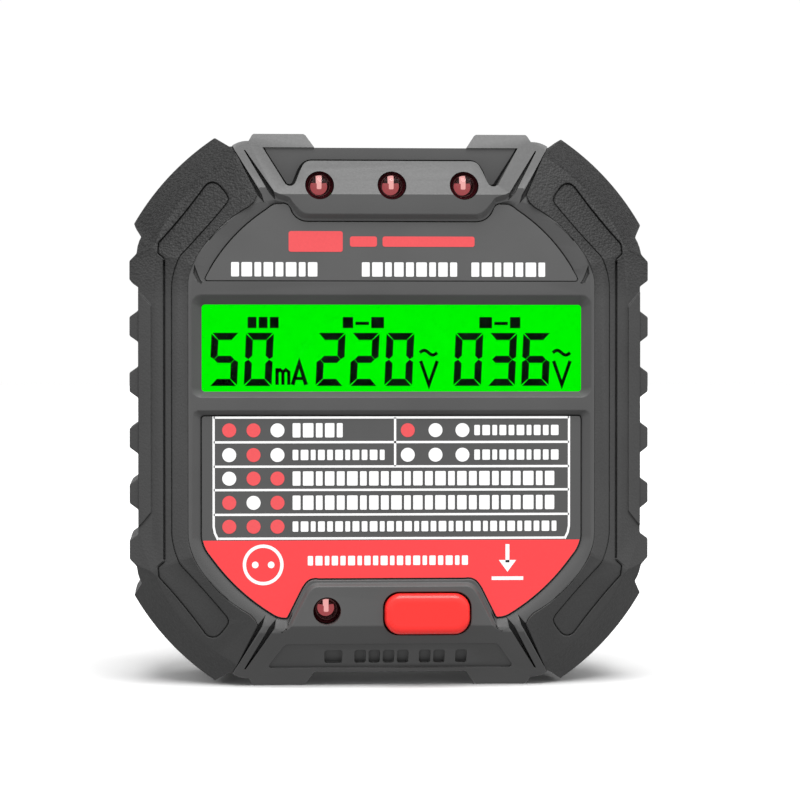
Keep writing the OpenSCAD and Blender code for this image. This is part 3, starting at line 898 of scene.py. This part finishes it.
def rear_block():
    """The rear half's outside, with its tabs and the plug's boss."""
    outline = all_quarters(TOP_EDGE[:1] + CORE_EDGE)
    back = keep_inside(prism(outline, PARTING_Y, REAR_Y), rear_crown())
    tab = [
        (9.6, 32), (9.6, EDGE_Z), (10.85, HALF_H), (17.3, HALF_H), (17.5, HALF_H - 0.15),
        (17.95, HALF_H - 0.94), (17.95, 32),
    ]
    join(back, *[prism(t, PARTING_Y, REAR_Y) for t in corners_of(tab)])
    join(back, loft((circle(0, 0, BOSS_R, 96), REAR_Y - 1), (circle(0, 0, BOSS_R - 0.15, 96), 0)))
    return cut(back, *both_ways(tab_gap, TAB_FRONT_Y, REAR_Y + 1))


def cut_plug(back):
    """The hollow of the rear half and its boss, the pin and earth holes, guides and clip seats."""
    clip = (-CLIP_HALF_W, CLIP_HALF_W)
    guide = (REAR_Y + 2, 1, -GUIDE_HALF_W, GUIDE_HALF_W)
    cut(
        back,
        prism(CAVITY, PARTING_Y - 1, REAR_Y - 2),
        prism(circle(0, 0, BOSS_R - 3.1, 64), REAR_Y - 3, -2.6),
        prism(circle(-PIN_X, 0, 2.6), -4, 1),
        prism(circle(PIN_X, 0, 2.6), -4, 1),
        prism(circle(0, EARTH_Z, 3.1), -4, 1),
        box(BOSS_R - 1.6, 22, *guide),
        box(-22, 1.6 - BOSS_R, *guide),
        *both_ways(box, *clip, REAR_Y + 1.5, -2.6, BOSS_R - 1.9, 22),
        *both_ways(box, *clip, -3.6, -2.6, BOSS_R - 4.5, 22),
        *both_ways(box, *clip, REAR_Y + 1.5, REAR_Y + 2.5, BOSS_R - 4.5, 22),
    )


def cut_rear_face(back):
    """The screw holes, the ring round the boss and the grip lines."""
    for x, z in corner_points(SCREW_X, SCREW_Z):
        cut(
            back,
            prism(circle(x, z, 1.4, 32), PARTING_Y - 1, REAR_Y + 1),
            prism(circle(x, z, 2.7, 32), REAR_Y - 6, REAR_Y + 1),
        )
    groove = prism(circle(0, 0, BOSS_R + 1.1, 96), REAR_Y - 0.35, REAR_Y + 1)
    cut(back, cut(groove, prism(circle(0, 0, BOSS_R + 0.3, 96), REAR_Y - 1, REAR_Y + 2)))
    for z in (24.6, 26.6, 28.6):
        cut(back, *both_ways(box, -12, 12, REAR_Y - 0.4, REAR_Y + 1, z - 0.45, z + 0.45))


def rear_shell():
    back = rear_block()
    cut_plug(back)
    cut_rear_face(back)
    tidy(back)
    to_metres(back)
    round_edges(back, 0.2, 3, 28)
    piece(back, "rear_shell_body", SHELL, stands_for=["rear_shell"])


def engraved_marks():
    """Plain blocks sunk into the panel under the button."""
    tools = []
    for x0, x1 in ((-8.4, -6.2), (-4.6, -3.2), (-2.8, -1.4), (-1.0, 0.4), (0.8, 2.2),
                   (3.6, 5.0), (5.4, 6.8), (8.2, 9.6)):
        tools.append(bevel_cut(rounded_rect((x0 + x1) / 2, -31.2, x1 - x0, 1.7, 0.25, 3), 1.1))
    return tools


def grip_body(y0, y1):
    right = SIDE_EDGE + back_in_z(SIDE_EDGE)
    inner = [(20, HALF_H - 1.55)] + RIM_EDGE
    inner = inner + back_in_z(inner)
    return prism(right + inner[::-1], y0, y1)


def outside_bow(inset):
    """The bumper's outer arc moved in by inset, closed far outside the grip."""
    a = math.radians(DIAGONAL)
    step = Vector((math.cos(a), math.sin(a)))
    along = Vector((step.y, -step.x))
    start = Vector(BUMPER_ARC[0]) - along * 8
    end = Vector(BUMPER_ARC[-1]) + along * 8
    arc = [tuple(start)] + BUMPER_ARC + [tuple(end)]
    near = [tuple(Vector(p) - step * inset) for p in arc]
    far = [tuple(end + step * 12), tuple(start + step * 12)]
    return near + far


def bumper_wedge(inset, y_inner, slope):
    """Cuts the outside of the bumper back with a slope that starts inset from its edge."""
    reach = 6
    return loft(
        (outside_bow(inset + reach / slope), y_inner - reach),
        (outside_bow(0), y_inner + inset * slope),
    )


def soften_crease(grip):
    """Rounds the long crease across each bumper, which is much softer than the other edges."""
    bm = bmesh.new()
    bm.from_mesh(grip.data)
    bmesh.ops.dissolve_limit(
        bm, angle_limit=math.radians(0.5), verts=bm.verts, edges=bm.edges, delimit={"NORMAL"}
    )
    creases = [
        e for e in bm.edges
        if len(e.link_faces) == 2
        and 15 < math.degrees(e.calc_face_angle(0)) < 30
        and all(v.co.x > 19 and abs(v.co.z) > 20 and v.co.y < -40 for v in e.verts)
        and all(f.normal.y < -0.4 for f in e.link_faces)
        and e.calc_length() > 0.2
    ]
    bmesh.ops.bevel(
        bm, geom=creases, offset=0.9, offset_type="OFFSET", segments=5, profile=0.5,
        affect="EDGES", clamp_overlap=True,
    )
    bm.to_mesh(grip.data)
    bm.free()


def flipped(obj):
    """The object mirrored from top to bottom."""
    for v in obj.data.vertices:
        v.co.z = -v.co.z
    obj.data.flip_normals()
    return obj


def front_grip_right():
    grip = keep_inside(grip_body(POD_Y, PARTING_Y), crown(0, GRIP_BEVELS))
    edge_far = 40.4
    inset = 3.4
    y = POD_Y + 0.6 * (edge_far - inset - 30.3)
    cut(grip, *both_ways(bumper_wedge, inset, y, 1.33))
    soften_crease(grip)
    strip = [
        (HALF_W, 15.0), (31.5, 14.65), (30.25, 13.2), (30.25, -12.9), (31.4, -14.3), (HALF_W, -14.8),
    ]
    raised = keep_inside(prism(strip, POD_Y, PARTING_Y), crown(-0.22, GRIP_BEVELS))
    join(grip, raised)
    recess = RECESS + back_in_z(RECESS)
    deep = [(28.72, 18.9), (28.5, 18.9), (28.5, -18.9), (28.72, -18.9)]
    cut(grip, bevel_cut(recess, 0.5, GRIP_BEVELS))
    island = prism(shrink(recess, 0.09), POD_Y - 1, PARTING_Y - 4)
    join(grip, keep_inside(island, crown(0.22, GRIP_BEVELS)))
    cut(grip, bevel_cut(deep, 0.7, GRIP_BEVELS))
    core = prism(all_quarters(TOP_EDGE + CORE_EDGE), POD_Y, PARTING_Y + 1)
    keep_inside(core, crown(1.5, GRIP_BEVELS))
    cut(grip, core)
    return tidy(grip)


def mirrored_copy(obj):
    copy = bpy.data.objects.new(obj.name, obj.data.copy())
    bpy.context.scene.collection.objects.link(copy)
    for v in copy.data.vertices:
        v.co.x = -v.co.x
    copy.data.flip_normals()
    return copy


def front_grips():
    right = front_grip_right()
    left = mirrored_copy(right)
    for obj, side in ((right, "right"), (left, "left")):
        to_metres(obj)
        round_edges(obj, 0.16, 3, 24)
        node = "grip_front_" + side
        piece(obj, node + "_skin", GRIP, stands_for=[node])


# ------------ labels and print

def plate(outlines, y_front, thick):
    """One object of several thin plates, each with its own outline."""
    bm = bmesh.new()
    for outline in outlines:
        add_loft(bm, [at_depth(outline, y_front), at_depth(outline, y_front + thick)])
    return to_metres(new_object("plate", bm))


def ribbon(points, width):
    """The outline of a line of the given width through the points."""
    half = width / 2
    sides = ([], [])
    count = len(points)
    for i, p in enumerate(points):
        p = Vector(p)
        before = (p - Vector(points[max(i - 1, 0)]))
        after = (Vector(points[min(i + 1, count - 1)]) - p)
        if not before.length:
            before = after
        if not after.length:
            after = before
        b, a = before.normalized(), after.normalized()
        normal = Vector((-b.y - a.y, b.x + a.x)).normalized()
        reach = half / max(0.35, normal.dot(Vector((-b.y, b.x))))
        sides[0].append(tuple(p + normal * reach))
        sides[1].append(tuple(p - normal * reach))
    return sides[0] + sides[1][::-1]


BLOCK_WIDTHS = (1.0, 1.35, 0.85, 1.2)
BLOCK_GAP = 0.3


def blocks(x0, x1, z, height):
    """A row of plain blocks that fills x0 to x1 in place of lettering."""
    out = []
    x = x0
    while x < x1 - 0.5:
        w = min(BLOCK_WIDTHS[len(out) % len(BLOCK_WIDTHS)] * height * 0.55, x1 - x)
        out.append(rounded_rect(x + w / 2, z, w, height, 0.12, 3))
        x += w + BLOCK_GAP
    return out


TOP_WHITE = [
    *blocks(-20.2, -9.2, 17.7, 1.8), *blocks(-3.8, 8.2, 17.7, 1.8), *blocks(10.0, 19.7, 17.7, 1.8)
]
TOP_CORAL = [
    rounded_rect(-9.6, 21.2, 6.8, 2.6, 0.3, 4),
    rounded_rect(-3.6, 21.2, 3.4, 1.3, 0.3, 4),
    rounded_rect(4.6, 21.2, 11.6, 1.3, 0.3, 4),
]
ROWS = (-0.9, -4.0, -7.06, -10.0, -13.1, -16.1)
LINE_W = 0.28


def chart_lines():
    lines = [ribbon([(-22.4, z), (22.4, z)], LINE_W) for z in ROWS[:-1]]
    lines.append(ribbon([(-21.8, ROWS[-1]), (21.8, ROWS[-1])], LINE_W))
    for s in (-1, 1):
        side = [(22.4, ROWS[0] + 0.14), (22.4, -14.6), (22.25, -15.4), (21.85, -16.24)]
        lines.append(ribbon([(s * x, z) for x, z in side], LINE_W))
    lines.append(ribbon([(0.4, ROWS[0]), (0.4, ROWS[2])], LINE_W))
    return lines


LEFT_DOTS = (-20.45, -17.4, -14.4)
RIGHT_DOTS = (2.0, 5.5, 8.9)
DOT_ROWS = (
    (-2.5, LEFT_DOTS, "RRW"), (-2.5, RIGHT_DOTS, "RWW"),
    (-5.6, LEFT_DOTS, "WRW"), (-5.6, RIGHT_DOTS, "WWW"),
    (-8.56, LEFT_DOTS, "WRR"), (-11.6, LEFT_DOTS, "RWR"), (-14.6, LEFT_DOTS, "RRR"),
)


def dots(colour):
    out = []
    for z, places, colours in DOT_ROWS:
        out += [circle(x, z, 0.88, 32) for x, c in zip(places, colours) if c == colour]
    return out


def chart_words():
    return (
        blocks(-12.5, -6.2, -2.5, 1.8) + blocks(-12.5, -0.3, -5.6, 1.3)
        + blocks(10.4, 21.5, -2.5, 1.3) + blocks(10.4, 21.5, -5.6, 1.3)
        + blocks(-12.5, 21.2, -8.56, 1.8) + blocks(-12.5, 21.2, -11.6, 1.8)
        + blocks(-12.5, 21.3, -14.6, 1.3)
    )


def ring(x, z, radius, width):
    """Two half rings that together make a ring."""
    turns = circle(x, z, radius, 96)
    return [ribbon(turns[:49], width), ribbon(turns[48:] + turns[:1], width)]


def red_field_marks():
    """White marks on the red field: an outlet, plain blocks, and a pushed button."""
    outlet = ring(-16.2, -19.4, 2.35, 0.42) + [circle(-17.2, -19.4, 0.42), circle(-15.2, -19.4, 0.42)]
    words = blocks(-10.6, 9.6, -18.9, 1.2)
    push = [
        ribbon([(12.6, -21.2), (16.6, -21.2)], 0.45),
        ribbon([(14.6, -16.9), (14.6, -19.2)], 0.5),
        [(13.5, -18.9), (15.7, -18.9), (14.6, -20.4)],
    ]
    return outlet + words + push


def labels():
    top = plate([shrink(TOP_LABEL, 0.12)], LABEL_Y - FOIL_T, FOIL_T)
    round_edges(top, 0.05, 2)
    piece(top, "top_label_film", TOP_FILM, stands_for=["top_label"])
    y = LABEL_Y - FOIL_T - PRINT_T
    piece(plate(TOP_WHITE, y, PRINT_T), "top_label_white_print", WHITE_INK)
    piece(plate(TOP_CORAL, y, PRINT_T), "top_label_coral_print", CORAL_INK)
    chart = plate([shrink(CHART, 0.12)], CHART_Y - FOIL_T, FOIL_T)
    round_edges(chart, 0.05, 2)
    piece(chart, "chart_label_film", CHART_FILM, stands_for=["chart_label"])
    y = CHART_Y - FOIL_T - PRINT_T
    field = prism(shrink(CHART, 0.2), y, y + PRINT_T)
    keep_inside(field, box(-40, 40, y - 1, y + 1, -40, ROWS[-1] - 0.25))
    piece(to_metres(field), "chart_red_print", RED_INK)
    piece(plate(chart_lines(), y, PRINT_T), "chart_line_print", WHITE_INK)
    piece(plate(chart_words() + dots("W"), y, PRINT_T), "chart_white_print", WHITE_INK)
    piece(plate(dots("R"), y, PRINT_T), "chart_red_dots", CORAL_INK)
    piece(plate(red_field_marks(), y - PRINT_T, PRINT_T), "chart_mark_print", WHITE_INK)


# ------------ the display

DIGIT_H, DIGIT_W, STROKE = 6.7, 3.5, 0.9
BAR_GAP = 0.03
LEAN = 0.045
SEGMENTS = {
    "0": "abcdef", "2": "abged", "3": "abgcd", "5": "afgcd", "6": "afgecd",
}


def leaning(x, z, points):
    return [(x + px + LEAN * pz, z + pz) for px, pz in points]


def segment(name):
    """One bar of a seven-bar digit, with mitred ends, from the digit's lower left corner."""
    w, h, t, g = DIGIT_W, DIGIT_H, STROKE, BAR_GAP
    mid = h / 2
    end = g + 0.1
    bars = {
        "a": [(end, h), (w - end, h), (w - t - g, h - t), (t + g, h - t)],
        "f": [
            (0, h - end), (t, h - t - g), (t, mid + t * 0.55), (t * 0.5, mid + g),
            (0, mid + t * 0.35),
        ],
        "g": [
            (t * 0.5 + g, mid), (t + g, mid + t * 0.5), (w - t - g, mid + t * 0.5),
            (w - t * 0.5 - g, mid), (w - t - g, mid - t * 0.5), (t + g, mid - t * 0.5),
        ],
    }
    bars["d"] = [(x, h - z) for x, z in bars["a"]]
    bars["e"] = [(x, h - z) for x, z in bars["f"]]
    bars["b"] = [(w - x, z) for x, z in bars["f"]]
    bars["c"] = [(w - x, z) for x, z in bars["e"]]
    return bars[name]


def digit(value, x, z):
    return [leaning(x, z, segment(s)) for s in SEGMENTS[value]]


def volt_sign(x, z, w, h):
    return [ribbon([(x, z + h), (x + w / 2, z), (x + w, z + h)], 0.42)]


def wave_sign(x, z, w):
    points = [(x + w * k / 12, z + 0.3 * math.sin(2 * math.pi * k / 12)) for k in range(13)]
    return [ribbon(points, 0.4)]


def milliamp_sign(x, z):
    h = 2.1
    marks = [ribbon([(x, z), (x, z + h)], 0.42)]
    for left, right in ((x, x + 0.74), (x + 0.74, x + 1.48)):
        mid = (left + right) / 2
        arch = [(left, z + h - 0.5), (mid, z + h - 0.2), (right, z + h - 0.5), (right, z)]
        marks.append(ribbon(arch, 0.4))
    a = x + 1.95
    marks.append(ribbon([(a, z), (a + 0.85, z + 2.75), (a + 1.7, z)], 0.5))
    marks.append(ribbon([(a + 0.35, z + 0.8), (a + 1.35, z + 0.8)], 0.4))
    return marks


def display_marks():
    z = 3.05
    marks = []
    for value, x in (("5", -22.95), ("0", -18.6), ("2", -9.55), ("2", -5.25), ("0", -0.85),
                     ("0", 7.9), ("3", 12.2), ("6", 16.5)):
        marks += digit(value, x, z)
    marks += milliamp_sign(-14.4, z + 0.15)
    for x in (3.75, 20.65):
        marks += volt_sign(x, z + 0.15, 2.1, 3.0)
        marks += wave_sign(x - 0.1, z + 4.2, 2.2)
    for x0, widths in ((-18.1, (1.1, 1.1, 1.1)), (-6.1, (1.3, 1.7, 1.6)), (11.2, (1.6, 1.7, 1.3))):
        x = x0
        for k, w in enumerate(widths):
            z0, z1 = (10.75, 11.15) if w == 1.7 else (10.35, 11.75)
            marks.append([(x, z0), (x + w, z0), (x + w, z1), (x, z1)])
            x += w + 0.3
    return marks


def display():
    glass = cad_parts["lcd_glass"]
    ink_y = GLASS_Y - 0.06
    piece(plate(display_marks(), ink_y, 0.05), "lcd_segments", SEGMENT)
    paint(glass, GREEN)


# ------------ lamps and button

def turned(profile, x, z):
    """A solid turned about the lamp's axis from (radius, y) points."""
    n = 48
    bm = bmesh.new()
    rings = []
    for radius, y in profile:
        if radius == 0:
            rings.append([bm.verts.new((x, y, z))])
        else:
            rings.append([bm.verts.new((px, y, pz)) for px, pz in circle(x, z, radius, n)])
    for a, b in zip(rings, rings[1:]):
        for i in range(n):
            j = (i + 1) % n
            corners = [a[i % len(a)], a[j % len(a)], b[j % len(b)], b[i % len(b)]]
            bm.faces.new(list(dict.fromkeys(corners)))
    return to_metres(new_object("turned", bm))


def dome(radius, y_tip):
    """The (radius, y) points of a round tip, from the axis out."""
    steps = 8
    out = []
    for k in range(steps + 1):
        a = math.pi / 2 * k / steps
        out.append((radius * math.sin(a), y_tip + radius * (1 - math.cos(a))))
    return out


def cup_outline(x, z, radius):
    """A round cup with a gap at the top, as the reflector looks from the front."""
    turns = [math.radians(155 + 230 * k / 24) for k in range(25)]
    out = [(x + radius * math.cos(a), z + radius * math.sin(a)) for a in turns]
    return out + [(x + radius * 0.4, z + 0.25), (x, z - 0.05), (x - radius * 0.4, z + 0.25)]


def lamp(node):
    """A lens, and behind it a near-black well that paints the shade in the lamp's hole, and a
    reflector cup and its post, which glow with painted light though the lamp is off.
    """
    x, z = middle(node)
    z += TEST_LAMP_RISE if node == "test_lamp" else -LAMP_DROP
    tip, back = low(node).y, high(node).y
    lens = turned(
        dome(1.5, tip) + [(1.5, back - 1), (1.9, back - 1), (1.9, back), (0, back)], x, z
    )
    smooth_faces(lens)
    piece(lens, node + "_lens", LENS, stands_for=[node])
    # The well: painted shade in the hole round the lens.
    well = [
        (0, tip + 2.6), (0.95, tip + 2.6), (1.15, tip + 1.1), (1.72, tip + 0.5),
        (1.72, tip + 3.5), (0, tip + 3.5),
    ]
    piece(turned(well, x, z), node + "_well", WELL_PAINTED_SHADE)
    # The cup and post: a painted glow, as the lamp is off.
    cup = prism(cup_outline(x, z, 0.66), tip + 1.7, tip + 2.65)
    piece(to_metres(cup), node + "_cup", CUP_PAINTED_GLOW)
    post = prism(rounded_rect(x, z + 0.26, 0.46, 1.15, 0.1, 3), tip + 1.5, tip + 2.65)
    piece(to_metres(post), node + "_post", POST_PAINTED_GLOW)


def lamps():
    for node in ("lamp_left", "lamp_middle", "lamp_right", "test_lamp"):
        lamp(node)


def button():
    x, z = BUTTON
    front, back = low("test_button").y, high("test_button").y
    steps = ((1.1, 0.0), (0.62, 0.06), (0.3, 0.22), (0.1, 0.5), (0.0, 0.95))
    outline = rounded_rect(x, z, BUTTON_W, BUTTON_H, BUTTON_R, 10)
    cap = loft(*[(shrink(outline, s), front + d) for s, d in steps], (outline, back - 0.95))
    flange = box(x - 6.6, x + 6.6, back - 1, back, z - 3.6, z + 3.6)
    join(cap, flange)
    tidy(cap, 0.1)
    to_metres(cap)
    round_edges(cap, 0.08, 2, 35)
    piece(
        cap, "test_button_cap", BUTTON_RED, body="button", stands_for=["test_button"],
    )


# ------------ carried-over nodes

def paint(obj, mat, soften=0.0):
    """Gives a CAD node its material and softens its edges, in modifiers only."""
    obj.data.materials.clear()
    obj.data.materials.append(mat)
    weld = obj.modifiers.new("weld", "WELD")
    weld.merge_threshold = 0.000002
    if soften:
        flat = obj.modifiers.new("flat", "DECIMATE")
        flat.decimate_type = "DISSOLVE"
        flat.angle_limit = math.radians(0.5)
        edge = obj.modifiers.new("edge", "BEVEL")
        edge.width = soften * MM
        edge.segments = 2
        edge.limit_method = "ANGLE"
        edge.angle_limit = math.radians(30)
        edge.use_clamp_overlap = True
    for face in obj.data.polygons:
        face.use_smooth = True
    normals = obj.modifiers.new("normals", "WEIGHTED_NORMAL")
    normals.keep_sharp = False


# CAD nodes that are kept: (material, softening of the edges in mm, nodes)
CARRIED = (
    (GRIP, 0.2, "grip_rear_left", "grip_rear_right"),
    (WINDOW, 0, "display_window"),
    (GREEN, 0, "backlight"),
    (INSULATOR, 0.1, "lcd_frame", "test_resistors", "sense_resistors"),
    (INSULATOR, 0.15, "pin_retainer"),
    (BLACK, 0, "zebra_strip", "live_wire", "neutral_wire", "earth_wire"),
    (BLACK, 0.05, "switch_base", "switch_plunger", "controller_chip"),
    (BLACK, 0.1, "smoothing_capacitor", "rectifier_diodes", "triac"),
    (TIN, 0, "lamp_leads", "switch_cover"),
    (BRASS, 0, "switch_dome"),
    (BRASS, 0.1, "earth_socket", "earth_bridge"),
    (BRASS, 0.12, "earth_clip_top", "earth_clip_bottom"),
    (BOARD, 0, "main_board"),
    (STEEL, 0.1, "board_screws", "retainer_screws", "thermal_fuse"),
    (STEEL, 0.12, "case_screws"),
    (NICKEL, 0, "pin_left", "pin_right"),
    (RED_INK, 0.2, "dropper_capacitor"),
)


# ------------ stage

def floor():
    bm = bmesh.new()
    bmesh.ops.create_circle(bm, cap_ends=True, segments=96, radius=4000)
    for v in bm.verts:
        v.co.z = -HALF_H - 0.01
    obj = to_metres(new_object("floor", bm))
    n = Nodes("floor_white")
    n.set(Base_Color=(0.72, 0.72, 0.72, 1), Roughness=0.9, Specular_IOR_Level=0.0)
    obj.data.materials.append(n.mat)
    obj.visible_diffuse = False
    obj.visible_glossy = False


def sky():
    world = bpy.data.worlds.new("studio")
    bpy.context.scene.world = world
    world.use_nodes = True
    tree = world.node_tree
    tree.nodes.clear()
    place = tree.nodes.new("ShaderNodeTexCoord")
    split = tree.nodes.new("ShaderNodeSeparateXYZ")
    ramp = tree.nodes.new("ShaderNodeValToRGB")
    half = tree.nodes.new("ShaderNodeMapRange")
    back = tree.nodes.new("ShaderNodeBackground")
    out = tree.nodes.new("ShaderNodeOutputWorld")
    tree.links.new(place.outputs["Generated"], split.inputs[0])
    tree.links.new(split.outputs["Z"], half.inputs[0])
    half.inputs[1].default_value = -1
    tree.links.new(half.outputs[0], ramp.inputs[0])
    stops = ((0.0, 0.47), (0.44, 0.53), (0.498, 0.78), (0.6, 0.78), (0.8, 0.85), (1.0, 0.9))
    while len(ramp.color_ramp.elements) < len(stops):
        ramp.color_ramp.elements.new(0.5)
    for element, (position, value) in zip(ramp.color_ramp.elements, stops):
        element.position = position
        element.color = (value, value, value, 1)
    tree.links.new(ramp.outputs[0], back.inputs[0])
    back.inputs[1].default_value = 1.3
    tree.links.new(back.outputs[0], out.inputs[0])


def key_light(towards, strength, spread):
    """A distant soft light that shines from the given direction."""
    light = bpy.data.lights.new("key", "SUN")
    light.energy = strength
    light.angle = math.radians(spread)
    obj = bpy.data.objects.new("key", light)
    obj.location = Vector(towards)
    obj.rotation_euler = (-Vector(towards)).to_track_quat("-Z", "Y").to_euler()
    bpy.context.scene.collection.objects.link(obj)


def camera():
    cam = bpy.data.cameras.new("camera")
    cam.lens = 141.6
    cam.sensor_width = 36
    cam.clip_start = 0.01
    cam.clip_end = 20
    obj = bpy.data.objects.new("camera", cam)
    bpy.context.scene.collection.objects.link(obj)
    az, el = math.radians(-3.6), math.radians(0.8)
    back = Vector((math.sin(az) * math.cos(el), -math.cos(az) * math.cos(el), math.sin(el)))
    aim = Vector((1.27, -43, 1.24)) * MM
    obj.location = aim + back * 0.4
    obj.rotation_euler = (-back).to_track_quat("-Z", "Y").to_euler()
    bpy.context.scene.camera = obj


front_shell()
rear_shell()
front_grips()
labels()
display()
lamps()
button()
for mat, soften, *nodes in CARRIED:
    for node in nodes:
        paint(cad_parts[node], mat, soften)
floor()
sky()
key_light((0.05, -0.46, 0.88), 3.1, 40)
camera()
bpy.context.scene.view_settings.view_transform = "Standard"
